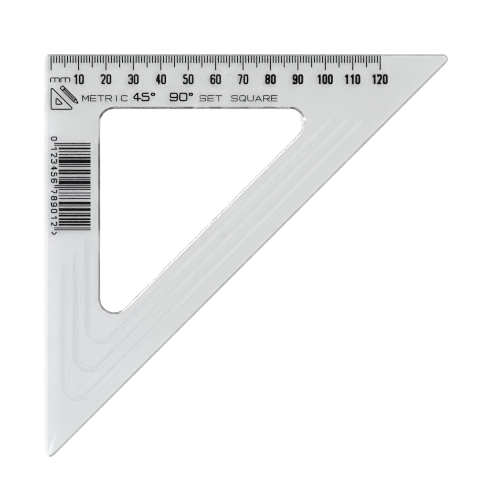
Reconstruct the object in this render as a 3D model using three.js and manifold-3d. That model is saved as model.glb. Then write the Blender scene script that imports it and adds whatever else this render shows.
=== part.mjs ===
// A 45 degree set square, moulded in clear plastic, with a millimetre scale printed on its flat face.
// Millimetres, +Z up. The bevelled and grooved underside rests on z = 0 and the printed face is on top.
// While it is built, the square's right angle is at x = 0, y = 0: the scale edge runs along +X, and the
// left edge along -Y. At the end the whole square moves so that its bounding box is centred on x and y.

import * as THREE from "three";
import { mergeVertices } from "three/addons/utils/BufferGeometryUtils.js";
import Module from "manifold-3d";

// Plate: a right isosceles triangle with rounded corners.
const LEG = 149.4;
const THICKNESS = 2.2;
const RIGHT_ANGLE_RADIUS = 1.0;
const TIP_RADIUS = 1.8;

// Each edge, from the printed face down: a square guide edge, a steep undercut, then a wide shallow bevel.
const GUIDE_EDGE_HEIGHT = 0.75;
const UNDERCUT_WIDTH = 0.75;
const UNDERCUT_BOTTOM = 1.0;
const LEFT_BEVEL_WIDTH = 3.9;
const SLANT_BEVEL_WIDTH = 5.2;
const SCALE_BEVEL_WIDTH = 5.3;

// The triangular opening. It widens towards the underside.
const OPENING_INSET = 20.0;
const OPENING_RADIUS = 5.0;
const OPENING_STRAIGHT_HEIGHT = 0.6;
const OPENING_FLARE = 0.9;

// Three nested grooves in the underside, each down the left leg, round the acute corner and up the slant leg.
const GROOVES = [
  { leftInset: 6.8, slantInset: 7.1, start: 77.9 },
  { leftInset: 11.1, slantInset: 11.4, start: 73.5 },
  { leftInset: 15.4, slantInset: 15.7, start: 68.4 },
];
const GROOVE_END = 24.0;
const GROOVE_BEND_RADIUS = 5.0;
const GROOVE_WIDTH = 2.2;
const GROOVE_DEPTH = 0.35;

// The dimple left by the moulding gate, at the inner side of the slant leg's middle groove.
const GATE_X = 65.3;
const GATE_Y = -66.2;
const GATE_RADIUS = 0.8;
const GATE_DEPTH = 0.22;

// Print: flat ink on the top face. The numerals from 80 on are printed bolder.
const INK_THICKNESS = 0.04;
const ZERO_X = 2.0;
const LAST_MARK = 120;
const MARKS_PER_NODE = 10;
const MARK_WIDTH = 0.46;
const MARK_START = 0.5;
const MARK_END = 3.22;
const FIVES_MARK_END = 4.88;
const TENS_MARK_END = 5.88;
const INK_BRIDGE = 0.1;

const NUMERAL_STROKE = 0.62;
const BOLD_NUMERAL_STROKE = 0.76;
const FIRST_BOLD_NUMERAL = 80;
const NUMERAL_WIDTH = 1.9;
const NUMERAL_HEIGHT = 3.75;
const NUMERAL_PITCH = 2.05;
const NUMERAL_TOP = 7.27;
const NUMERAL_BEND = 0.6;
const HUNDREDS_SHIFT = 0.2;

const UNIT_STROKE = 0.42;
const UNIT_WIDTH = 3.65;
const UNIT_HEIGHT = 1.85;
const UNIT_PITCH = 3.8;
const UNIT_LEFT = 1.55;
const UNIT_TOP = 8.45;
const UNIT_BEND = 0.5;

// Facets on round stretches, and a margin by which cutters pass through what they cut.
const CORNER_SEGMENTS = 6;
const STROKE_BEND_SEGMENTS = 3;
const GROOVE_SECTION_SEGMENTS = 24;
const GROOVE_STEP = 2.0;
const MARGIN = 2.0;

// Strokes of each character as centre lines, on a cell 2 wide and 4 high (the letter m is 4 wide, 2 high).
// A closed stroke is a loop. An upright stroke with a free end passes the cell a little, to end level with
// the outside of the others.
const CHARACTERS = {
  0: [{ closed: true, points: [[0, 0], [2, 0], [2, 4], [0, 4]] }],
  1: [{ points: [[1.4, -0.4], [1.4, 4.4]] }, { points: [[0.1, 3.1], [1.4, 3.9]] }],
  2: [{ points: [[0, 3.1], [0, 4], [2, 4], [2, 2.5], [0, 0], [2, 0]] }],
  3: [
    { points: [[0, 3.1], [0, 4], [2, 4], [2, 2.1], [0.8, 2.1]] },
    { points: [[0.8, 2.1], [2, 2.1], [2, 0], [0, 0], [0, 0.9]] },
  ],
  4: [{ points: [[1.5, -0.4], [1.5, 4.4]] }, { points: [[1.4, 4.1], [0, 1.1], [2.4, 1.1]] }],
  5: [
    { points: [[1.9, 4], [0.1, 4], [0.1, 2.4]] },
    { points: [[0.1, 2.4], [2, 2.4], [2, 0], [0, 0], [0, 0.9]] },
  ],
  6: [
    { closed: true, points: [[0, 0], [2, 0], [2, 2.3], [0, 2.3]] },
    { points: [[0, 1.1], [0, 4], [2, 4], [2, 3.1]] },
  ],
  7: [{ points: [[-0.3, 4], [2, 4], [0.6, -0.4]] }],
  8: [
    { closed: true, points: [[0, 2.1], [2, 2.1], [2, 4], [0, 4]] },
    { closed: true, points: [[0, 0], [2, 0], [2, 2.1], [0, 2.1]] },
  ],
  9: [
    { closed: true, points: [[0, 1.7], [2, 1.7], [2, 4], [0, 4]] },
    { points: [[0, 0.9], [0, 0], [2, 0], [2, 2.9]] },
  ],
  m: [{ points: [[0, -0.3], [0, 2], [4, 2], [4, -0.3]] }, { points: [[2, 2], [2, -0.3]] }],
};

const clearPlastic = new THREE.MeshStandardMaterial({
  name: "clear_plastic",
  color: 0xdadcdf,
  roughness: 0.12,
  metalness: 0,
  transparent: true,
  opacity: 0.45,
});
const blackInk = new THREE.MeshStandardMaterial({
  name: "black_ink",
  color: 0x141517,
  roughness: 0.5,
  metalness: 0,
});

const wasm = await Module();
wasm.setup();

// Solids -------------------------------------------------------------------------------------------------

function toSolid(geometry) {
  const bare = geometry.clone();
  bare.deleteAttribute("normal");
  bare.deleteAttribute("uv");
  const merged = mergeVertices(bare, 1e-4);
  return new wasm.Manifold(
    new wasm.Mesh({
      numProp: 3,
      vertProperties: new Float32Array(merged.attributes.position.array),
      triVerts: new Uint32Array(merged.index.array),
    }),
  );
}

function toGeometry(solid) {
  const mesh = solid.getMesh();
  const geometry = new THREE.BufferGeometry();
  geometry.setAttribute("position", new THREE.BufferAttribute(mesh.vertProperties, 3));
  geometry.setIndex(new THREE.BufferAttribute(mesh.triVerts, 1));
  geometry.computeVertexNormals();
  return geometry;
}

function cutAll(solid, cutters) {
  return cutters.reduce((rest, cutter) => rest.subtract(toSolid(cutter)), solid);
}

function prism(shape, bottom, top) {
  const geometry = new THREE.ExtrudeGeometry(shape, {
    depth: top - bottom,
    bevelEnabled: false,
    curveSegments: CORNER_SEGMENTS,
  });
  return geometry.translate(0, 0, bottom);
}

// Plate --------------------------------------------------------------------------------------------------

// The triangle's corners, anticlockwise, with every side moved inwards by inset.
function triangleCorners(inset) {
  const reach = LEG - inset * (1 + Math.SQRT2);
  return [
    new THREE.Vector2(inset, -inset),
    new THREE.Vector2(inset, -reach),
    new THREE.Vector2(reach, -inset),
  ];
}

// A closed outline through convex anticlockwise corners, each rounded to its own radius.
function roundedShape(corners, radii) {
  const shape = new THREE.Shape();
  corners.forEach((corner, i) => {
    const toBefore = corners.at(i - 1).clone().sub(corner).normalize();
    const toAfter = corners[(i + 1) % corners.length].clone().sub(corner).normalize();
    const halfAngle = toBefore.angleTo(toAfter) / 2;
    const tangentLength = radii[i] / Math.tan(halfAngle);
    const start = corner.clone().addScaledVector(toBefore, tangentLength);
    const end = corner.clone().addScaledVector(toAfter, tangentLength);
    const inward = toBefore.clone().add(toAfter).normalize();
    const centre = corner.clone().addScaledVector(inward, radii[i] / Math.sin(halfAngle));
    const startAngle = start.sub(centre).angle();
    const endAngle = end.sub(centre).angle();
    shape.absarc(centre.x, centre.y, radii[i], startAngle, endAngle, false);
  });
  return shape;
}

// The wedge that shapes one edge, extruded along that edge. Profile x is the distance in from the edge.
function edgeCutter(start, end, bevelWidth) {
  const profile = new THREE.Shape([
    new THREE.Vector2(-MARGIN, -MARGIN),
    new THREE.Vector2(bevelWidth, -MARGIN),
    new THREE.Vector2(bevelWidth, 0),
    new THREE.Vector2(UNDERCUT_WIDTH, UNDERCUT_BOTTOM),
    new THREE.Vector2(0, THICKNESS - GUIDE_EDGE_HEIGHT),
    new THREE.Vector2(-MARGIN, THICKNESS - GUIDE_EDGE_HEIGHT),
  ]);
  const length = start.distanceTo(end) + 2 * MARGIN;
  const cutter = new THREE.ExtrudeGeometry(profile, { depth: length, bevelEnabled: false });
  const along = new THREE.Vector3(end.x - start.x, end.y - start.y, 0).normalize();
  const up = new THREE.Vector3(0, 0, 1);
  const inward = up.clone().cross(along);
  const placement = new THREE.Matrix4().makeBasis(inward, up, along);
  const origin = new THREE.Vector3(start.x, start.y, 0).addScaledVector(along, -MARGIN);
  return cutter.applyMatrix4(placement.setPosition(origin));
}

function openingCutters() {
  const radii = [OPENING_RADIUS, OPENING_RADIUS, OPENING_RADIUS];
  const outline = roundedShape(triangleCorners(OPENING_INSET), radii);
  const flare = new THREE.ExtrudeGeometry(outline, {
    depth: MARGIN,
    bevelThickness: THICKNESS - OPENING_STRAIGHT_HEIGHT,
    bevelSize: OPENING_FLARE,
    bevelSegments: 1,
    curveSegments: CORNER_SEGMENTS,
  });
  return [prism(outline, -MARGIN, THICKNESS + MARGIN), flare.translate(0, 0, -MARGIN)];
}

// A groove's centre line: straight, a round bend of 135 degrees, straight.
function grooveRoute(groove) {
  const cornerY = groove.leftInset + groove.slantInset * Math.SQRT2 - LEG;
  const bendLength = GROOVE_BEND_RADIUS / Math.tan(Math.PI / 8);
  const bendCentreX = groove.leftInset + GROOVE_BEND_RADIUS;
  const bendStartY = cornerY + bendLength;
  const endX = groove.leftInset - GROOVE_END - cornerY;
  const route = new THREE.Path();
  route.moveTo(groove.leftInset, -groove.start);
  route.lineTo(groove.leftInset, bendStartY);
  route.absarc(bendCentreX, bendStartY, GROOVE_BEND_RADIUS, Math.PI, 1.75 * Math.PI, false);
  route.lineTo(endX, -GROOVE_END);
  return route;
}

// A groove is a round bar let into the underside, with a ball at each end.
function grooveCutters(groove) {
  const barRadius = (GROOVE_WIDTH ** 2 / 4 + GROOVE_DEPTH ** 2) / (2 * GROOVE_DEPTH);
  const barHeight = GROOVE_DEPTH - barRadius;
  const section = new THREE.Shape().absarc(0, 0, barRadius, 0, 2 * Math.PI, false);
  const route = grooveRoute(groove);
  const points = route.getPoints(CORNER_SEGMENTS).map((p) => new THREE.Vector3(p.x, p.y, barHeight));
  const path = new THREE.CurvePath();
  points.slice(1).forEach((point, i) => path.add(new THREE.LineCurve3(points[i], point)));
  const bar = new THREE.ExtrudeGeometry(section, {
    steps: Math.round(path.getLength() / GROOVE_STEP),
    extrudePath: path,
    curveSegments: GROOVE_SECTION_SEGMENTS / 2,
  });
  const balls = [points.at(0), points.at(-1)].map((end) =>
    new THREE.SphereGeometry(barRadius, GROOVE_SECTION_SEGMENTS, GROOVE_SECTION_SEGMENTS / 2)
      .rotateX(Math.PI / 2)
      .translate(end.x, end.y, end.z),
  );
  return [bar, ...balls];
}

function gateCutter() {
  const height = GATE_DEPTH + MARGIN;
  const dimple = new THREE.CylinderGeometry(GATE_RADIUS * 0.7, GATE_RADIUS * 1.3, height, 12);
  return dimple.rotateX(Math.PI / 2).translate(GATE_X, GATE_Y, GATE_DEPTH - height / 2);
}

function plate() {
  const [rightAngle, bottomTip, rightTip] = triangleCorners(0);
  const outline = roundedShape([rightAngle, bottomTip, rightTip], [RIGHT_ANGLE_RADIUS, TIP_RADIUS, TIP_RADIUS]);
  const blank = toSolid(prism(outline, 0, THICKNESS));
  const solid = cutAll(blank, [
    ...openingCutters(),
    edgeCutter(rightAngle, bottomTip, LEFT_BEVEL_WIDTH),
    edgeCutter(bottomTip, rightTip, SLANT_BEVEL_WIDTH),
    edgeCutter(rightTip, rightAngle, SCALE_BEVEL_WIDTH),
    ...GROOVES.flatMap(grooveCutters),
    gateCutter(),
  ]);
  const mesh = new THREE.Mesh(toGeometry(solid), clearPlastic);
  mesh.name = "plate";
  return mesh;
}

// Print --------------------------------------------------------------------------------------------------

function inkMesh(name, solid) {
  const mesh = new THREE.Mesh(toGeometry(solid), blackInk);
  mesh.name = name;
  return mesh;
}

function inkSolid(shape) {
  return toSolid(prism(shape, THICKNESS, THICKNESS + INK_THICKNESS));
}

function markEnd(mark) {
  if (mark % 10 === 0) {
    return TENS_MARK_END;
  }
  return mark % 5 === 0 ? FIVES_MARK_END : MARK_END;
}

// Ten neighbouring marks as one outline. A hairline of ink along the plate's edge joins their outer ends.
function graduations(first, last) {
  const half = MARK_WIDTH / 2;
  const outline = [
    new THREE.Vector2(ZERO_X + first - half, -MARK_START),
  ];
  for (let mark = first; mark <= last; mark += 1) {
    const left = ZERO_X + mark - half;
    const right = ZERO_X + mark + half;
    if (mark > first) {
      outline.push(new THREE.Vector2(left, -MARK_START - INK_BRIDGE));
    }
    outline.push(new THREE.Vector2(left, -markEnd(mark)));
    outline.push(new THREE.Vector2(right, -markEnd(mark)));
    if (mark < last) {
      outline.push(new THREE.Vector2(right, -MARK_START - INK_BRIDGE));
    }
  }
  outline.push(new THREE.Vector2(ZERO_X + last + half, -MARK_START));
  return inkSolid(new THREE.Shape(outline));
}

// A stroke's centre line with its corners rounded. A corner too tight for the stroke's width stays sharp.
function bentLine(points, closed, bend, halfWidth) {
  return points.flatMap((corner, i) => {
    if (!closed && (i === 0 || i === points.length - 1)) {
      return [corner];
    }
    const before = points.at(i - 1);
    const after = points[(i + 1) % points.length];
    const room = 0.49 * Math.min(corner.distanceTo(before), corner.distanceTo(after));
    const toBefore = before.clone().sub(corner).normalize();
    const toAfter = after.clone().sub(corner).normalize();
    const tangent = Math.tan(toBefore.angleTo(toAfter) / 2);
    const radius = Math.min(bend, room * tangent);
    if (radius < halfWidth) {
      return [corner];
    }
    const start = corner.clone().addScaledVector(toBefore, radius / tangent);
    const end = corner.clone().addScaledVector(toAfter, radius / tangent);
    return new THREE.QuadraticBezierCurve(start, corner, end).getPoints(STROKE_BEND_SEGMENTS);
  });
}

// The line's points moved sideways by offset, mitred at each corner.
function sideLine(points, closed, offset) {
  return points.map((point, i) => {
    const before = closed ? points.at(i - 1) : points[Math.max(i - 1, 0)];
    const after = closed ? points[(i + 1) % points.length] : points[Math.min(i + 1, points.length - 1)];
    const arriving = i === 0 && !closed ? after.clone().sub(point) : point.clone().sub(before);
    const leaving = i === points.length - 1 && !closed ? arriving.clone() : after.clone().sub(point);
    const mean = arriving.normalize().add(leaving.normalize()).normalize();
    const mitre = offset / mean.dot(leaving);
    return new THREE.Vector2(point.x - mean.y * mitre, point.y + mean.x * mitre);
  });
}

function strokeShape(points, closed, bend, halfWidth) {
  const line = bentLine(points, closed, bend, halfWidth);
  const outer = sideLine(line, closed, -halfWidth);
  const inner = sideLine(line, closed, halfWidth).reverse();
  if (!closed) {
    return new THREE.Shape([...outer, ...inner]);
  }
  const shape = new THREE.Shape(outer);
  shape.holes.push(new THREE.Path(inner));
  return shape;
}

// A character whose ink has the given outer size, with the lower left corner of its centre lines at x, y.
function characterSolid(character, x, y, width, height, stroke, bend) {
  const cells = character === "m" ? [4, 2] : [2, 4];
  const scaleX = (width - stroke) / cells[0];
  const scaleY = (height - stroke) / cells[1];
  const strokes = CHARACTERS[character].map(({ points, closed = false }) => {
    const placed = points.map(([px, py]) => new THREE.Vector2(x + px * scaleX, y + py * scaleY));
    return inkSolid(strokeShape(placed, closed, bend, stroke / 2));
  });
  return strokes.reduce((joined, next) => joined.add(next));
}

function numeral(value) {
  const digits = [...String(value)];
  const stroke = value < FIRST_BOLD_NUMERAL ? NUMERAL_STROKE : BOLD_NUMERAL_STROKE;
  const shift = value < 100 ? 0 : HUNDREDS_SHIFT;
  const cellWidth = NUMERAL_WIDTH - stroke;
  const left = ZERO_X + value - shift - (cellWidth + NUMERAL_PITCH * (digits.length - 1)) / 2;
  const baseline = stroke / 2 - NUMERAL_TOP - NUMERAL_HEIGHT;
  return digits.map((digit, i) =>
    inkMesh(
      `numeral_${value}_digit_${i + 1}`,
      characterSolid(
        digit,
        left + i * NUMERAL_PITCH,
        baseline,
        NUMERAL_WIDTH,
        NUMERAL_HEIGHT,
        stroke,
        NUMERAL_BEND,
      ),
    ),
  );
}

function unitLetter(place) {
  const x = UNIT_LEFT + UNIT_STROKE / 2 + place * UNIT_PITCH;
  const y = UNIT_STROKE / 2 - UNIT_TOP - UNIT_HEIGHT;
  const solid = characterSolid("m", x, y, UNIT_WIDTH, UNIT_HEIGHT, UNIT_STROKE, UNIT_BEND);
  return inkMesh(`unit_letter_${place + 1}`, solid);
}

function printedScale() {
  const scale = new THREE.Group();
  for (let first = 0; first < LAST_MARK; first += MARKS_PER_NODE) {
    const isLast = first + MARKS_PER_NODE === LAST_MARK;
    const last = isLast ? LAST_MARK : first + MARKS_PER_NODE - 1;
    scale.add(inkMesh(`graduations_${first}_to_${last}`, graduations(first, last)));
  }
  for (let value = 10; value <= LAST_MARK; value += 10) {
    scale.add(...numeral(value));
  }
  scale.add(unitLetter(0), unitLetter(1));
  return scale;
}

// Set square ---------------------------------------------------------------------------------------------

const setSquare = new THREE.Group();
setSquare.add(plate(), printedScale());
const tipReach = LEG - Math.SQRT2 * TIP_RADIUS;
setSquare.position.set(-tipReach / 2, tipReach / 2, 0);

export default setSquare;
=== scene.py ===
"""The looks of a clear plastic 45 degree set square with a printed millimetre scale.

Every length below is in millimetres, and place() turns them into the frame's metres. Positions are counted
from the plate's right-angle corner: x along the scale edge, y down the left edge, height above the table.
"""

import math

import bmesh
import bpy
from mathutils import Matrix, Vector


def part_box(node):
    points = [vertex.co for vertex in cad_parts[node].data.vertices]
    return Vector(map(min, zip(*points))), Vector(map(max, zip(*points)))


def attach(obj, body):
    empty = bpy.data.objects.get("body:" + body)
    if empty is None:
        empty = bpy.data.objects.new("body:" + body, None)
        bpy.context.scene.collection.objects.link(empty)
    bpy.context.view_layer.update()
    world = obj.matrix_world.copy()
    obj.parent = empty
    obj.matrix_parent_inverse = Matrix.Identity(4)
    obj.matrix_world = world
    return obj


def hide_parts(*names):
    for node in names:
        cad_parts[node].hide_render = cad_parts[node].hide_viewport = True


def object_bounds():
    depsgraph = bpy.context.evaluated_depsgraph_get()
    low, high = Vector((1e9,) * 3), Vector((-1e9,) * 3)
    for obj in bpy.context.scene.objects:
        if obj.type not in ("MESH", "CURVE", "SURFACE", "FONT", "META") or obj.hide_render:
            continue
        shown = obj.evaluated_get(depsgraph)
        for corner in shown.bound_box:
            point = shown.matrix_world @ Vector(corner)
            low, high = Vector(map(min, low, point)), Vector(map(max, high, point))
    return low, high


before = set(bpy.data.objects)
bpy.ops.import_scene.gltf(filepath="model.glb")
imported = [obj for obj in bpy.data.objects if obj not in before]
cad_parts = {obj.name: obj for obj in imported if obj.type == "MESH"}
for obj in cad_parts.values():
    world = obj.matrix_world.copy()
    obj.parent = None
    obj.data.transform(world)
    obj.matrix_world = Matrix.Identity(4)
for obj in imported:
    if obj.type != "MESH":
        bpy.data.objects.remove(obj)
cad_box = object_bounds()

MM = 0.001
PLATE_LOW, PLATE_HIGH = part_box("plate")
RIGHT_ANGLE = Vector((PLATE_LOW[0], PLATE_HIGH[1], PLATE_LOW[2]))
THICKNESS = (PLATE_HIGH[2] - PLATE_LOW[2]) / MM

# The plate's outline. The rounded tips cut the legs short, so the sharp leg is worked out from the box.
TIP_RADIUS = 1.8
RIGHT_ANGLE_RADIUS = 1.0
LEG = (PLATE_HIGH[0] - PLATE_LOW[0]) / MM + math.sqrt(2) * TIP_RADIUS

# The outer edges in section: an upright guide edge under the printed face, a sloping undercut and a wide flat
# bevel down to the land, which lies on the table.
GUIDE_EDGE_HEIGHT = 0.75
UNDERCUT_WIDTH = 0.75
UNDERCUT_BOTTOM = 1.0
LEFT_BEVEL, SLANT_BEVEL, SCALE_BEVEL = 3.9, 5.2, 5.3
EDGE_ROUNDING = 0.06

# The opening's wall is upright below the printed face and then flares out towards the table.
OPENING_INSET = 20.0
OPENING_RADIUS = 5.0
OPENING_STRAIGHT = 0.6
OPENING_FLARE = 0.9

# Each groove: its distance in from the left edge, from the slant edge, and its start below the scale edge.
GROOVES = ((6.8, 7.1, 77.9), (11.1, 11.4, 73.5), (15.4, 15.7, 68.4))
GROOVE_END = 24.0
GROOVE_BEND_RADIUS = 5.0
GROOVE_WIDTH = 2.2
GROOVE_DEPTH = 0.35

# The dimple that the moulding gate left in the land.
GATE = (65.3, 66.2)
GATE_RADIUS = 0.8
GATE_DEPTH = 0.22

# How far the ink stands above the printed face, and how far it reaches into it.
INK_HEIGHT = 0.02
INK_SUNK = 0.01

ZERO_X = 2.0
LAST_MARK = 120
MARK_WIDTH = 0.46
MARK_START = 0.5
MARK_END, FIVES_MARK_END, TENS_MARK_END = 3.22, 4.88, 5.88

NUMERAL_TOP = 7.27
NUMERAL_STROKE, BOLD_NUMERAL_STROKE = 0.66, 0.78
FIRST_BOLD_NUMERAL = 80
HUNDREDS_SHIFT = 0.2


def place(x, y, height):
    """A point of the square, in the frame's metres."""
    return RIGHT_ANGLE + Vector((x, -y, height)) * MM


# Pieces -----------------------------------------------------------------------------------------------


def add_piece(name, points, faces, material, replaced=()):
    """A new mesh piece from points in the frame, riding on the square.

    replaced are the names of the frame's nodes that it stands for.
    """
    mesh = bpy.data.meshes.new(name)
    mesh.from_pydata([tuple(p) for p in points], [], faces)
    mesh.validate()
    clean = bmesh.new()
    clean.from_mesh(mesh)
    bmesh.ops.remove_doubles(clean, verts=clean.verts, dist=1e-8)
    bmesh.ops.recalc_face_normals(clean, faces=clean.faces)
    clean.to_mesh(mesh)
    clean.free()
    mesh.materials.append(material)
    piece = bpy.data.objects.new(name, mesh)
    bpy.context.scene.collection.objects.link(piece)
    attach(piece, "root")
    if replaced:
        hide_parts(*replaced)
    return piece


# Plate ------------------------------------------------------------------------------------------------

CORNER_STEPS = 16


def rounded_triangle(insets, radii):
    """The triangle with each side moved inwards (left, slant, scale) and its corners rounded."""
    left, slant, scale = insets
    reach = LEG - math.sqrt(2) * slant
    corners = (Vector((left, scale)), Vector((left, reach - left)), Vector((reach - scale, scale)))
    ring = []
    for i, corner in enumerate(corners):
        back = (corners[i - 1] - corner).normalized()
        on = (corners[(i + 1) % 3] - corner).normalized()
        half = back.angle(on) / 2
        centre = corner + (back + on).normalized() * (radii[i] / math.sin(half))
        first = corner + back * (radii[i] / math.tan(half)) - centre
        turn = math.pi - 2 * half
        for step in range(CORNER_STEPS + 1):
            angle = -turn * step / CORNER_STEPS
            ring.append(centre + Vector((
                first.x * math.cos(angle) - first.y * math.sin(angle),
                first.x * math.sin(angle) + first.y * math.cos(angle),
            )))
    return ring


def softened(profile, radius, steps=4):
    """A profile with each of its inner corners rounded by a short curve.

    A point just before and after each curve, at flat times its reach, keeps the flat stretches' shading flat.
    """
    flat = 1.3
    soft = [profile[0]]
    for before, corner, after in zip(profile, profile[1:], profile[2:]):
        before, corner, after = Vector(before), Vector(corner), Vector(after)
        reach = min(radius, (corner - before).length / 3, (after - corner).length / 3)
        back = (before - corner).normalized() * reach
        on = (after - corner).normalized() * reach
        soft.append(tuple(corner + back * flat))
        for step in range(steps + 1):
            t = step / steps
            soft.append(tuple(corner + back * (1 - t) ** 2 + on * t ** 2))
        soft.append(tuple(corner + on * flat))
    return soft + [profile[-1]]


def outer_rings():
    """The plate's outer edge, from the printed face down to the land.

    The profile is the slant edge's, in (inset, height). The other edges' bevels are narrower or wider.
    """
    profile = (
        (0.3, THICKNESS),
        (0, THICKNESS),
        (0, THICKNESS - GUIDE_EDGE_HEIGHT),
        (UNDERCUT_WIDTH, UNDERCUT_BOTTOM),
        (SLANT_BEVEL, 0),
        (SLANT_BEVEL + 1.5, 0),
    )
    rings = []
    for inset, height in softened(profile, EDGE_ROUNDING):
        beyond = max(0, inset - UNDERCUT_WIDTH) / (SLANT_BEVEL - UNDERCUT_WIDTH)
        insets = [
            min(inset, UNDERCUT_WIDTH) + beyond * (width - UNDERCUT_WIDTH)
            for width in (LEFT_BEVEL, SLANT_BEVEL, SCALE_BEVEL)
        ]
        radii = [max(0.25, radius - inset) for radius in (RIGHT_ANGLE_RADIUS, TIP_RADIUS, TIP_RADIUS)]
        rings.append([place(p.x, p.y, height) for p in rounded_triangle(insets, radii)])
    return rings


def opening_rings():
    """The opening's wall, from the printed face down to the land, in (way into the plastic, height)."""
    profile = (
        (0.2, THICKNESS),
        (0, THICKNESS),
        (0, THICKNESS - OPENING_STRAIGHT),
        (OPENING_FLARE, 0),
        (OPENING_FLARE + 0.2, 0),
    )
    rings = []
    for inwards, height in profile:
        ring = rounded_triangle([OPENING_INSET - inwards] * 3, [OPENING_RADIUS + inwards] * 3)
        rings.append([place(p.x, p.y, height) for p in ring])
    return rings


def wall_faces(first, rings, size):
    """Quads between neighbouring rings of size points, which start at index first."""
    faces = []
    for ring in range(rings - 1):
        for i in range(size):
            a = first + ring * size + i
            b = first + ring * size + (i + 1) % size
            faces.append((a, b, b + size, a + size))
    return faces


def sweep_bar(route, radius, height):
    """A round bar along a flat route, with a ball at each end, as points and faces."""
    section_steps = 96
    ball_steps = 12
    stations = []
    start_way = (route[1] - route[0]).normalized()
    end_way = (route[-1] - route[-2]).normalized()
    for step in range(1, ball_steps):
        angle = math.pi / 2 * (1 - step / ball_steps)
        centre = route[0] - start_way * radius * math.sin(angle)
        stations.append((centre, start_way, radius * math.cos(angle)))
    for i, point in enumerate(route):
        way = (route[min(i + 1, len(route) - 1)] - route[max(i - 1, 0)]).normalized()
        stations.append((point, way, radius))
    for step in range(1, ball_steps):
        angle = math.pi / 2 * step / ball_steps
        centre = route[-1] + end_way * radius * math.sin(angle)
        stations.append((centre, end_way, radius * math.cos(angle)))
    points = []
    for centre, way, size in stations:
        side = Vector((way.y, -way.x))
        for k in range(section_steps):
            turn = 2 * math.pi * (k + 0.5) / section_steps
            across = centre + side * size * math.cos(turn)
            points.append(place(across.x, across.y, height + size * math.sin(turn)))
    faces = wall_faces(0, len(stations), section_steps)
    faces.append(tuple(range(section_steps)))
    last = (len(stations) - 1) * section_steps
    faces.append(tuple(last + k for k in reversed(range(section_steps))))
    return points, faces


def groove_route(left_inset, slant_inset, start):
    """A groove's centre line: down the left leg, round the acute corner, up the slant leg."""
    corner_y = LEG - left_inset - math.sqrt(2) * slant_inset
    bend_y = corner_y - GROOVE_BEND_RADIUS / math.tan(math.pi / 8)
    bend_steps = 36
    route = [Vector((left_inset, start))]
    for step in range(bend_steps + 1):
        angle = math.pi * 0.75 * step / bend_steps
        route.append(Vector((
            left_inset + GROOVE_BEND_RADIUS * (1 - math.cos(angle)),
            bend_y + GROOVE_BEND_RADIUS * math.sin(angle),
        )))
    route.append(Vector((corner_y + left_inset - GROOVE_END, GROOVE_END)))
    return route


def cutter(name, points, faces, material):
    """A solid that is only there to be cut out of the plate, and gives the cut its material."""
    mesh = bpy.data.meshes.new(name)
    mesh.from_pydata([tuple(p) for p in points], [], faces)
    mesh.materials.append(material)
    clean = bmesh.new()
    clean.from_mesh(mesh)
    bmesh.ops.recalc_face_normals(clean, faces=clean.faces)
    clean.to_mesh(mesh)
    clean.free()
    tool = bpy.data.objects.new(name, mesh)
    bpy.context.scene.collection.objects.link(tool)
    return tool


def gate_cutter(material):
    """A shallow dimple with sloping sides and a small raised nib of plastic left in its middle.

    The profile is in (share of the radius, height), and starts well below the plate.
    """
    steps = 48
    profile = (
        (1.3, -0.5),
        (1.3, 0.0),
        (1.0, GATE_DEPTH * 0.9),
        (0.85, GATE_DEPTH),
        (0.35, GATE_DEPTH),
        (0.22, GATE_DEPTH * 0.45),
        (0.02, GATE_DEPTH * 0.35),
    )
    points = []
    for share, height in profile:
        for k in range(steps):
            turn = 2 * math.pi * k / steps
            x = GATE[0] + GATE_RADIUS * share * math.cos(turn)
            y = GATE[1] + GATE_RADIUS * share * math.sin(turn)
            points.append(place(x, y, height))
    faces = wall_faces(0, len(profile), steps)
    faces.append(tuple(range(steps)))
    faces.append(tuple(range((len(profile) - 1) * steps, len(profile) * steps)))
    return cutter("gate_cutter", points, faces, material)


def cut(piece, tool):
    """Cuts the tool out of the piece, and removes the tool."""
    modifier = piece.modifiers.new("cut", "BOOLEAN")
    modifier.operation = "DIFFERENCE"
    modifier.solver = "EXACT"
    modifier.material_mode = "TRANSFER"
    modifier.object = tool
    bpy.context.view_layer.update()
    seen = piece.evaluated_get(bpy.context.evaluated_depsgraph_get())
    mesh = bpy.data.meshes.new_from_object(seen)
    piece.modifiers.clear()
    old = piece.data
    piece.data = mesh
    bpy.data.meshes.remove(old)
    bpy.data.objects.remove(tool)


# How upright a face's normal is where the face is no longer an edge but a bevel or a flat.
BEVEL_UPRIGHT = 0.92


def finish_edges(plate, lit_and_shaded_edge_materials):
    """Gives the narrow edges painted light and shade: outer ones, then the opening's, and dark before bright.

    The edges that face left get the near-white painted light: the outer left edge and the opening's slant
    wall. The others get dark grey painted shade.
    """
    slots = len(plate.data.materials)
    for material in lit_and_shaded_edge_materials:
        plate.data.materials.append(material)
    for face in plate.data.polygons:
        x, y, z = face.normal
        if face.material_index != 0 or abs(z) > BEVEL_UPRIGHT:
            continue
        across = (face.center.x - RIGHT_ANGLE.x) / MM
        down = (RIGHT_ANGLE.y - face.center.y) / MM
        inset = min(across, down, (LEG - across - down) / math.sqrt(2))
        in_opening = inset > OPENING_INSET / 2
        # Faces that face left take the near-white copy, painted light; the others take the dark grey copy,
        # painted shade.
        gets_painted_light = x < -0.2
        face.material_index = slots + 2 * in_opening + gets_painted_light


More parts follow.
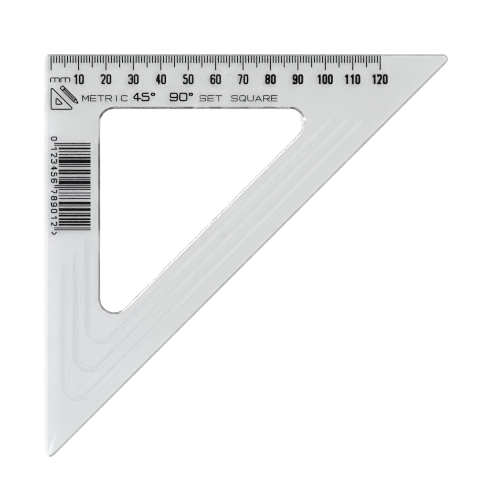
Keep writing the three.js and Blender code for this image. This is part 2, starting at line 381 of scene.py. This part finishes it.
def make_plate(material, groove_light_and_shade_material, lit_and_shaded_edge_materials):
    """The moulded plate: its rings joined into one closed solid, with the grooves and the gate cut in."""
    outer = outer_rings()
    opening = opening_rings()
    size = len(outer[0])
    points = [p for ring in outer + opening for p in ring]
    opening_start = len(outer) * size
    faces = wall_faces(0, len(outer), size) + wall_faces(opening_start, len(opening), size)
    for outer_ring, opening_ring in ((0, 0), (len(outer) - 1, len(opening) - 1)):
        a = outer_ring * size
        b = opening_start + opening_ring * size
        for i in range(size):
            faces.append((a + i, a + (i + 1) % size, b + (i + 1) % size, b + i))
    plate = add_piece("clear_plate", points, faces, material, ("plate",))
    bar_radius = (GROOVE_WIDTH ** 2 / 4 + GROOVE_DEPTH ** 2) / (2 * GROOVE_DEPTH)
    for i, (left_inset, slant_inset, start) in enumerate(GROOVES):
        route = groove_route(left_inset, slant_inset, start)
        bar = sweep_bar(route, bar_radius, GROOVE_DEPTH - bar_radius)
        cut(plate, cutter(f"groove_cutter_{i}", *bar, groove_light_and_shade_material))
    cut(plate, gate_cutter(groove_light_and_shade_material))
    finish_edges(plate, lit_and_shaded_edge_materials)
    plate.data.polygons.foreach_set("use_smooth", [True] * len(plate.data.polygons))
    plate.data.set_sharp_from_angle(angle=math.radians(24))


# Ink --------------------------------------------------------------------------------------------------

# Strokes of each character as centre lines, on a cell 2 wide and 4 high. A closed stroke is a loop. An
# upright stroke with a free end passes the cell by 0.4, to end level with the outside of the others.
CHARACTERS = {
    "0": [([(0, 0), (2, 0), (2, 4), (0, 4)], True)],
    "1": [([(1.4, -0.4), (1.4, 4.4)], False), ([(0.1, 3.1), (1.4, 3.9)], False)],
    "2": [([(0, 3.1), (0, 4), (2, 4), (2, 2.5), (0, 0), (2, 0)], False)],
    "3": [
        ([(0, 3.1), (0, 4), (2, 4), (2, 2.1), (0.8, 2.1)], False),
        ([(0.8, 2.1), (2, 2.1), (2, 0), (0, 0), (0, 0.9)], False),
    ],
    "4": [([(1.5, -0.4), (1.5, 4.4)], False), ([(1.4, 4.1), (0, 1.1), (2.4, 1.1)], False)],
    "5": [
        ([(1.9, 4), (0.1, 4), (0.1, 2.4)], False),
        ([(0.1, 2.4), (2, 2.4), (2, 0), (0, 0), (0, 0.9)], False),
    ],
    "6": [([(0, 0), (2, 0), (2, 2.3), (0, 2.3)], True), ([(0, 1.1), (0, 4), (2, 4), (2, 3.1)], False)],
    "7": [([(-0.3, 4), (2, 4), (0.6, -0.4)], False)],
    "8": [([(0, 2.1), (2, 2.1), (2, 4), (0, 4)], True), ([(0, 0), (2, 0), (2, 2.1), (0, 2.1)], True)],
    "9": [([(0, 1.7), (2, 1.7), (2, 4), (0, 4)], True), ([(0, 0.9), (0, 0), (2, 0), (2, 2.9)], False)],
    "A": [([(-0.1, -0.4), (1, 4)], False), ([(1, 4), (2.1, -0.4)], False), ([(0.3, 1), (1.7, 1)], False)],
    "C": [([(2, 3.1), (2, 4), (0, 4), (0, 0), (2, 0), (2, 0.9)], False)],
    "E": [
        ([(0, 4), (0, 0)], False),
        ([(-0.15, 4), (2.1, 4)], False),
        ([(0, 2), (2, 2)], False),
        ([(-0.15, 0), (2.1, 0)], False),
    ],
    "I": [([(1, -0.4), (1, 4.4)], False)],
    "M": [
        ([(0, -0.4), (0, 4.4)], False),
        ([(0, 4.2), (1, 1)], False),
        ([(1, 1), (2, 4.2)], False),
        ([(2, 4.4), (2, -0.4)], False),
    ],
    "Q": [([(0, 0), (2, 0), (2, 4), (0, 4)], True), ([(1.2, 1.1), (2.1, -0.4)], False)],
    "R": [
        ([(0, -0.4), (0, 4)], False),
        ([(-0.15, 4), (2, 4), (2, 1.7), (0, 1.7)], False),
        ([(1.1, 1.7), (2.1, -0.4)], False),
    ],
    "S": [([(2, 3.2), (2, 4), (0, 4), (0, 2), (2, 2), (2, 0), (0, 0), (0, 0.8)], False)],
    "T": [([(-0.2, 4), (2.2, 4)], False), ([(1, 4), (1, -0.4)], False)],
    "U": [([(0, 4.4), (0, 0), (2, 0), (2, 4.4)], False)],
    "°": [([(0, 2.9), (0.9, 2.9), (0.9, 4), (0, 4)], True)],
    ">": [([(0, 4), (2, 2), (0, 0)], False)],
    "m": [([(0, -0.5), (0, 4), (2, 4), (2, -0.5)], False), ([(1, 4), (1, -0.5)], False)],
}


def bent_line(points, closed, bend, half_width):
    """A stroke's centre line with its corners rounded, except those too tight for the stroke."""
    steps = 6
    line = []
    for i, corner in enumerate(points):
        if not closed and i in (0, len(points) - 1):
            line.append(corner)
            continue
        before, after = points[i - 1], points[(i + 1) % len(points)]
        back, on = (before - corner).normalized(), (after - corner).normalized()
        tangent = math.tan(back.angle(on) / 2)
        room = 0.49 * min((before - corner).length, (after - corner).length)
        radius = min(bend, room * tangent)
        if radius < half_width:
            line.append(corner)
            continue
        start, end = corner + back * radius / tangent, corner + on * radius / tangent
        for step in range(steps + 1):
            t = step / steps
            line.append((1 - t) ** 2 * start + 2 * t * (1 - t) * corner + t ** 2 * end)
    return line


def side_lines(line, closed, half_width):
    """The two edges of a stroke, mitred at each corner of its centre line."""
    sides = []
    last = len(line) - 1
    for i, point in enumerate(line):
        before = line[i - 1] if closed or i > 0 else None
        after = line[(i + 1) % len(line)] if closed or i < last else None
        arriving = (point - before).normalized() if before is not None else None
        leaving = (after - point).normalized() if after is not None else arriving
        arriving = arriving if arriving is not None else leaving
        mean = (arriving + leaving).normalized()
        across = Vector((-mean.y, mean.x)) * (half_width / max(0.4, mean.dot(leaving)))
        sides.append((point + across, point - across))
    return sides


class Ink:
    """Flat strokes of ink gathered into one piece on the printed face."""

    def __init__(self):
        self.points = []
        self.faces = []

    def stroke(self, line, half_width, bend=0.0, closed=False):
        """Adds a stroke along a line of (x, y) in the square's millimetres."""
        line = bent_line([Vector(p) for p in line], closed, bend, half_width)
        first = len(self.points)
        for left, right in side_lines(line, closed, half_width):
            for x, y in (left, right):
                self.points.append(place(x, y, THICKNESS - INK_SUNK))
                self.points.append(place(x, y, THICKNESS + INK_HEIGHT))
        count = len(line)
        for i in range(count if closed else count - 1):
            a = first + 4 * i
            b = first + 4 * ((i + 1) % count)
            self.faces += [
                (a + 1, b + 1, b + 3, a + 3),
                (a, a + 2, b + 2, b),
                (a, b, b + 1, a + 1),
                (a + 2, a + 3, b + 3, b + 2),
            ]
        if not closed:
            end = first + 4 * (count - 1)
            self.faces += [(first, first + 1, first + 3, first + 2), (end, end + 2, end + 3, end + 1)]

    def text(self, words, x, y, width, height, pitch, stroke, bend, downwards=False):
        """Adds a line of characters. x, y is the lower left corner of the first one's ink."""
        scale_x, scale_y = (width - stroke) / 2, (height - stroke) / 4
        for i, character in enumerate(words):
            for points, closed in CHARACTERS.get(character, ()):
                line = []
                for px, py in points:
                    along = stroke / 2 + i * pitch + px * scale_x
                    up = stroke / 2 + py * scale_y
                    line.append((x + up, y + along) if downwards else (x + along, y - up))
                self.stroke(line, stroke / 2, bend, closed)

    def piece(self, name, material, replaced=()):
        add_piece(name, self.points, self.faces, material, replaced)


def mark_end(mark):
    """How far down from the scale edge a mark reaches."""
    if mark % 10 == 0:
        return TENS_MARK_END
    return FIVES_MARK_END if mark % 5 == 0 else MARK_END


def make_graduations(material):
    """The millimetre marks, in one piece for each ten."""
    for first in range(0, LAST_MARK, 10):
        last = LAST_MARK if first + 10 == LAST_MARK else first + 9
        ink = Ink()
        for mark in range(first, last + 1):
            x = ZERO_X + mark
            ink.stroke([(x, MARK_START), (x, mark_end(mark))], MARK_WIDTH / 2)
        ink.piece(f"marks_{first}_to_{last}", material, (f"graduations_{first}_to_{last}",))


def make_numerals(material):
    """The numerals below the long marks, one piece for each digit."""
    width, height, pitch, bend = 1.9, 3.75, 2.05, 0.6
    baseline = NUMERAL_TOP + height
    for value in range(10, LAST_MARK + 1, 10):
        stroke = NUMERAL_STROKE if value < FIRST_BOLD_NUMERAL else BOLD_NUMERAL_STROKE
        digits = str(value)
        left = ZERO_X + value - (width + pitch * (len(digits) - 1)) / 2
        if value >= 100:
            left -= HUNDREDS_SHIFT
        for i, digit in enumerate(digits):
            ink = Ink()
            ink.text(digit, left + i * pitch, baseline, width, height, pitch, stroke, bend)
            ink.piece(f"figure_{value}_{i + 1}", material, (f"numeral_{value}_digit_{i + 1}",))


def make_unit(material):
    """The letters mm at the start of the numerals."""
    left, baseline, width, height, pitch, stroke, bend = 1.55, 10.3, 3.65, 1.85, 3.8, 0.42, 0.5
    for i in range(2):
        ink = Ink()
        ink.text("m", left + pitch * i, baseline, width, height, pitch, stroke, bend)
        ink.piece(f"unit_m_{i + 1}", material, (f"unit_letter_{i + 1}",))


def make_legend(material):
    """A plain legend: the kind of scale, the angles and what the object is."""
    baseline, bend = 17.25, 0.7
    for name, words, x, width, height, pitch, stroke in (
        ("legend_metric", "METRIC", 13.3, 2.45, 2.3, 2.82, 0.36),
        ("legend_angles", "45° 90°", 31.4, 3.1, 3.25, 3.45, 0.56),
        ("legend_name", "SET SQUARE", 56.1, 2.45, 2.3, 2.9, 0.34),
    ):
        ink = Ink()
        ink.text(words, x, baseline, width, height, pitch, stroke, bend)
        ink.piece(name, material)


def make_icon(material):
    """A small drawing of a set square with a pencil along its slant edge, in (right, up) of its corner."""
    left, bottom, half = 1.7, 20.4, 0.23
    square = [(0.3, 0.3), (8.4, 0.3), (0.3, 8.4)]
    window = [(2.1, 2.1), (4.6, 2.1), (2.1, 4.6)]
    pencil = [(4.5, 8.9), (9.4, 4.0), (10.2, 2.3), (8.5, 3.1), (3.6, 8.0)]
    ink = Ink()
    for line, bend, closed in (
        (square, 0.5, True),
        (window, 0.4, True),
        (pencil, 0.25, True),
        ([(9.2, 3.9), (8.5, 3.3)], 0, False),
        ([(5.3, 8.0), (4.5, 7.2)], 0, False),
        ([(5.0, 7.6), (8.8, 3.7)], 0, False),
    ):
        ink.stroke([(left + x, bottom - y) for x, y in line], half, bend, closed)
    ink.piece("icon_square_and_pencil", material)


# The usual bars of each digit in the left half of a bar code: 1 is a dark module. The right half's are the
# same with dark and light swapped.
BAR_CODES = (
    "0001101",
    "0011001",
    "0010011",
    "0111101",
    "0100011",
    "0110001",
    "0101111",
    "0111011",
    "0110111",
    "0001011",
)
SIDE_GUARD, MIDDLE_GUARD = "101", "01010"


def make_bar_code(material):
    """A bar code for the placeholder number 0 123456 789012, with its digits, down the left leg."""
    number = "123456789012"
    module = 0.335
    ink_spread = 0.035
    top, bars_left, bars_right, guards_left = 32.4, 4.75, 16.4, 3.1
    left_half, right_half = ["".join(BAR_CODES[int(d)] for d in half) for half in (number[:6], number[6:])]
    right_half = right_half.translate(str.maketrans("01", "10"))
    pattern = SIDE_GUARD + left_half + MIDDLE_GUARD + right_half + SIDE_GUARD
    middle_guard = range(len(SIDE_GUARD + left_half), len(SIDE_GUARD + left_half + MIDDLE_GUARD))
    last_guard = len(pattern) - len(SIDE_GUARD)
    bars = Ink()
    start = 0
    while start < len(pattern):
        end = start
        while end < len(pattern) and pattern[end] == pattern[start]:
            end += 1
        if pattern[start] == "1":
            is_guard = start < len(SIDE_GUARD) or start in middle_guard or start >= last_guard
            middle = top + module * (start + end) / 2
            half = module * (end - start) / 2 + ink_spread
            bars.stroke([(guards_left if is_guard else bars_left, middle), (bars_right, middle)], half)
        start = end
    bars.piece("bar_code_bars", material)
    digits = Ink()
    left, width, height, stroke, bend = 1.9, 1.65, 2.35, 0.45, 0.5
    pitch = 7 * module
    for words, module_start in (("0", -7.2), (number[:6], 3.6), (number[6:], 50.6), (">", 96)):
        y = top + module * module_start
        digits.text(words, left, y, width, height, pitch, stroke, bend, downwards=True)
    digits.piece("bar_code_digits", material)


# Materials --------------------------------------------------------------------------------------------


class Surface:
    """A procedural material: its shader, and textures laid out in millimetres of the object."""

    def __init__(self, name):
        self.material = bpy.data.materials.new(name)
        self.material.use_nodes = True
        self.nodes, self.links = self.material.node_tree.nodes, self.material.node_tree.links
        self.shader = self.nodes["Principled BSDF"]
        self.position = self.nodes.new("ShaderNodeTexCoord").outputs["Object"]

    def noise(self, sizes, detail=2.0, turned=0.0, offset=0.0):
        """Noise from 0 to 1, with its grain's size in millimetres along x, y and z, turned about z."""
        mapping = self.nodes.new("ShaderNodeMapping")
        mapping.vector_type = "TEXTURE"
        mapping.inputs["Rotation"].default_value = (0, 0, math.radians(turned))
        mapping.inputs["Scale"].default_value = [size * MM for size in sizes]
        mapping.inputs["Location"].default_value = (offset, offset, 0)
        self.links.new(self.position, mapping.inputs["Vector"])
        noise = self.nodes.new("ShaderNodeTexNoise")
        noise.inputs["Scale"].default_value = 1
        noise.inputs["Detail"].default_value = detail
        self.links.new(mapping.outputs["Vector"], noise.inputs["Vector"])
        return noise.outputs["Fac"]

    def from_lower_left(self, low, high):
        """0 to 1 from the lower part of the left leg to the rest of the square.

        low and high are in millimetres: the way in from the left edge, less half the way down.
        """
        across = self.nodes.new("ShaderNodeVectorMath")
        across.operation = "DOT_PRODUCT"
        across.inputs[1].default_value = (1, 0.5, 0)
        self.links.new(self.position, across.inputs[0])
        corner = RIGHT_ANGLE.x + RIGHT_ANGLE.y / 2
        return self.ramp(across.outputs["Value"], corner + low * MM, corner + high * MM, 0, 1)

    def ramp(self, value, low, high, to_low, to_high):
        """The value's stretch from low to high, spread smoothly over to_low to to_high."""
        node = self.nodes.new("ShaderNodeMapRange")
        node.interpolation_type = "SMOOTHSTEP"
        node.inputs["From Min"].default_value = low
        node.inputs["From Max"].default_value = high
        node.inputs["To Min"].default_value = to_low
        node.inputs["To Max"].default_value = to_high
        self.links.new(value, node.inputs["Value"])
        return node.outputs["Result"]

    def combine(self, operation, first, second):
        """Two values joined by a Math node's operation."""
        node = self.nodes.new("ShaderNodeMath")
        node.operation = operation
        self.links.new(first, node.inputs[0])
        self.links.new(second, node.inputs[1])
        return node.outputs["Value"]

    def mixed_colour(self, amount, first, second):
        """From the first colour at 0 to the second at 1."""
        node = self.nodes.new("ShaderNodeMix")
        node.data_type = "RGBA"
        node.inputs["A"].default_value = (*first, 1)
        node.inputs["B"].default_value = (*second, 1)
        self.links.new(amount, node.inputs["Factor"])
        return node.outputs["Result"]

    def bump(self, height, depth, under=None):
        """A bump whose height of 1 is depth millimetres."""
        node = self.nodes.new("ShaderNodeBump")
        node.inputs["Strength"].default_value = 1
        node.inputs["Distance"].default_value = depth * MM
        self.links.new(height, node.inputs["Height"])
        if under is not None:
            self.links.new(under, node.inputs["Normal"])
        return node.outputs["Normal"]


# Where the plate's and the grooves' tints fade from the lower left leg's to the rest's, in millimetres. The
# fades paint light and shade: the plate is painted lighter on the lower left leg, and its grooves painted
# darker there and lighter along the rest.
PLATE_LIGHT_AND_SHADE_FADES = (-40, 25)
GROOVE_LIGHT_AND_SHADE_FADES = (-18, 14)

# Families of handling scratches: the way they run in degrees, their length and spacing in millimetres.
SCRATCHES = ((18, 38, 0.16), (74, 26, 0.12), (131, 32, 0.14), (158, 20, 0.10))
SCRATCH_ROUGHNESS = 0.06
HAZE_ROUGHNESS = 0.015


def clear_plastic(name, tints, fades, roughness, grain, clear=1.0):
    """Polished clear plastic, faintly grey, slightly wavy from the mould, with fine handling scratches.

    tints are the tints of the lower left leg and of the rest, and fades the stretch in between; the step from
    one tint to the other is painted light and shade. grain is the depth in millimetres of the fine texture
    that the mould's surface left, and clear the share of the light that isn't scattered.
    """
    surface = Surface(name)
    shader = surface.shader
    shader.inputs["Transmission Weight"].default_value = clear
    shader.inputs["IOR"].default_value = 1.5
    scratches = None
    for i, (turned, length, spacing) in enumerate(SCRATCHES):
        lines = surface.ramp(surface.noise((length, spacing, 5), 1.0, turned, 0.01 * i), 0.70, 0.78, 0, 1)
        worn = surface.ramp(surface.noise((23, 17, 9), 2.0, turned + 40, 0.02 * i), 0.46, 0.66, 0, 1)
        family = surface.combine("MULTIPLY", lines, worn)
        scratches = family if scratches is None else surface.combine("MAXIMUM", scratches, family)
    rough = surface.ramp(scratches, 0, 1, roughness, roughness + SCRATCH_ROUGHNESS)
    haze = surface.ramp(surface.noise((31, 24, 9), 3.0, 25), 0.35, 0.75, 0, HAZE_ROUGHNESS)
    surface.links.new(surface.combine("ADD", rough, haze), shader.inputs["Roughness"])
    # Painted light and shade: the tint moves from the lower left leg's to the rest's by position on the
    # square.
    painted_light_and_shade = surface.ramp(surface.from_lower_left(*fades), 0, 1, 0, 0.85)
    uneven = surface.ramp(surface.noise((55, 40, 20), 2.0, 60), 0.3, 0.7, 0, 0.15)
    left = (0.99 * tints[0], 0.998 * tints[0], 1.012 * tints[0])
    rest = (0.992 * tints[1], 1.003 * tints[1], 0.999 * tints[1])
    colour = surface.mixed_colour(surface.combine("ADD", painted_light_and_shade, uneven), left, rest)
    surface.links.new(colour, shader.inputs["Base Color"])
    waves = surface.bump(surface.noise((26, 19, 12), 1.5, 35), 0.01)
    texture = surface.bump(surface.noise((0.22, 0.22, 0.22), 2.0), grain, waves)
    surface.links.new(surface.bump(scratches, -0.0015, texture), shader.inputs["Normal"])
    return surface.material


def black_ink():
    """Screen-printed black ink: matt, slightly uneven, with a few thin spots."""
    surface = Surface("black_ink")
    shader = surface.shader
    shader.inputs["Specular IOR Level"].default_value = 0.1
    thin = surface.ramp(surface.noise((0.4, 0.4, 0.4), 2.0), 0.70, 0.82, 0, 1)
    colour = surface.mixed_colour(thin, (0.0018, 0.0018, 0.002), (0.05, 0.05, 0.05))
    surface.links.new(colour, shader.inputs["Base Color"])
    uneven = surface.noise((0.9, 0.7, 0.9), 3.0, 30)
    surface.links.new(surface.ramp(uneven, 0.3, 0.7, 0.42, 0.62), shader.inputs["Roughness"])
    surface.links.new(surface.bump(surface.noise((0.12, 0.12, 0.12), 2.0), 0.004), shader.inputs["Normal"])
    return surface.material


# Studio -----------------------------------------------------------------------------------------------


# The width of the view on the printed face, and how far its middle is off the square's, in metres.
VIEW_WIDTH = 0.18235
VIEW_OFFSET = (0.0011, 0.002)


def make_camera():
    """Straight above the square, far enough away to see it almost without perspective."""
    camera = bpy.data.objects.new("camera", bpy.data.cameras.new("camera"))
    bpy.context.scene.collection.objects.link(camera)
    camera.data.lens = 500
    distance = VIEW_WIDTH * camera.data.lens / camera.data.sensor_width
    middle = (Vector(cad_box[0]) + Vector(cad_box[1])) / 2
    camera.location = (middle.x + VIEW_OFFSET[0], middle.y + VIEW_OFFSET[1], PLATE_HIGH[2] + distance)
    bpy.context.scene.camera = camera


def make_floor():
    """A white table that glows a little, so that the square's shadow on it is faint."""
    mesh = bpy.data.meshes.new("floor")
    half, below = 3.0, -0.0001
    corners = [(-half, -half, below), (half, -half, below), (half, half, below), (-half, half, below)]
    mesh.from_pydata(corners, [], [(0, 1, 2, 3)])
    floor = bpy.data.objects.new("floor", mesh)
    bpy.context.scene.collection.objects.link(floor)
    material = bpy.data.materials.new("floor")
    material.use_nodes = True
    shader = material.node_tree.nodes["Principled BSDF"]
    shader.inputs["Base Color"].default_value = (0.86, 0.86, 0.86, 1)
    shader.inputs["Roughness"].default_value = 0.9
    shader.inputs["Emission Color"].default_value = (1, 1, 1, 1)
    shader.inputs["Emission Strength"].default_value = 0.43
    mesh.materials.append(material)


# Light that is caught between the plate's two faces bounces many times before it leaves.
LIGHT_BOUNCES = 40
PIXEL_BLUR = 1.1

# The soft lights round the table: the way to each from the square (degrees from +X, degrees above the
# table), how far it spreads in degrees, and its strength.
LIGHTS = (
    (48, 53, 28, 6.8),
    (315, 50, 28, 3.8),
    (350, 3, 28, 2.4),
    (225, 3, 28, 1.5),
    (90, 17, 22, 2.4),
)
ROOM_LIGHT = 0.18

# Straight above the square the light is dimmed to this share, out to this many degrees.
DARK_ABOVE = 0.15
DARK_SPREAD = 30


def make_world():
    """Soft lights in a dim room, dark straight above the square and plain white where the camera looks."""
    world = bpy.data.worlds.new("studio")
    bpy.context.scene.world = world
    world.use_nodes = True
    nodes, links = world.node_tree.nodes, world.node_tree.links
    direction = nodes.new("ShaderNodeTexCoord").outputs["Generated"]

    def glow(way, spread, start, strength):
        """A round soft light: strength at its middle, start beyond its spread."""
        towards = nodes.new("ShaderNodeVectorMath")
        towards.operation = "DOT_PRODUCT"
        towards.inputs[1].default_value = way
        links.new(direction, towards.inputs[0])
        ramp = nodes.new("ShaderNodeMapRange")
        ramp.interpolation_type = "SMOOTHSTEP"
        ramp.inputs["From Min"].default_value = math.cos(math.radians(spread))
        ramp.inputs["From Max"].default_value = 1
        ramp.inputs["To Min"].default_value = start
        ramp.inputs["To Max"].default_value = strength
        links.new(towards.outputs["Value"], ramp.inputs["Value"])
        return ramp.outputs["Result"]

    def combine(operation, first, second):
        """Two values or plain numbers joined by a Math node's operation."""
        node = nodes.new("ShaderNodeMath")
        node.operation = operation
        for socket, value in zip(node.inputs, (first, second)):
            if isinstance(value, float):
                socket.default_value = value
            else:
                links.new(value, socket)
        return node.outputs[0]

    total = combine("ADD", ROOM_LIGHT, 0.0)
    for around, above, spread, strength in LIGHTS:
        around, above = math.radians(around), math.radians(above)
        way = (math.cos(above) * math.cos(around), math.cos(above) * math.sin(around), math.sin(above))
        total = combine("ADD", total, glow(way, spread, 0, strength))
    total = combine("MULTIPLY", total, glow((0, 0, 1), DARK_SPREAD, 1, DARK_ABOVE))
    seen = nodes.new("ShaderNodeLightPath").outputs["Is Camera Ray"]
    links.new(combine("MAXIMUM", total, seen), nodes["Background"].inputs["Strength"])
    nodes["Background"].inputs["Color"].default_value = (1, 1, 1, 1)


def main():
    scene = bpy.context.scene
    scene.view_settings.view_transform = "Standard"
    scene.cycles.max_bounces = LIGHT_BOUNCES
    scene.cycles.glossy_bounces = LIGHT_BOUNCES
    scene.cycles.transmission_bounces = LIGHT_BOUNCES
    scene.cycles.filter_width = PIXEL_BLUR
    make_camera()
    make_floor()
    make_world()
    ink = black_ink()
    # The narrow edges differ in tone with the light round the square, so each kind gets a copy of the plastic
    # with painted shade or painted light: dark grey copies for the edges turned away, near-white ones for the
    # edges that face left.
    make_plate(
        # The plate's plastic is painted lighter on the lower left leg: painted light.
        clear_plastic("clear_plastic", (0.82, 0.783), PLATE_LIGHT_AND_SHADE_FADES, 0.025, 0.0002),
        # The grooves and the gate dimple are painted darker than the plate on the lower left leg, painted
        # shade, and lighter along the rest, painted light.
        clear_plastic("groove_plastic_painted_shade_and_light", (0.755, 0.802), GROOVE_LIGHT_AND_SHADE_FADES, 0.06, 0.001),
        (
            clear_plastic("painted_shade_edge_plastic", (0.43, 0.42), PLATE_LIGHT_AND_SHADE_FADES, 0.07, 0.001, 0.82),
            clear_plastic("painted_light_edge_plastic", (0.98, 0.98), PLATE_LIGHT_AND_SHADE_FADES, 0.04, 0.001),
            clear_plastic("painted_shade_wall_plastic", (0.42, 0.52), PLATE_LIGHT_AND_SHADE_FADES, 0.07, 0.001, 0.5),
            clear_plastic("painted_light_wall_plastic", (0.98, 0.98), PLATE_LIGHT_AND_SHADE_FADES, 0.04, 0.001, 0.65),
        ),
    )
    make_graduations(ink)
    make_numerals(ink)
    make_unit(ink)
    make_legend(ink)
    make_icon(ink)
    make_bar_code(ink)


main()
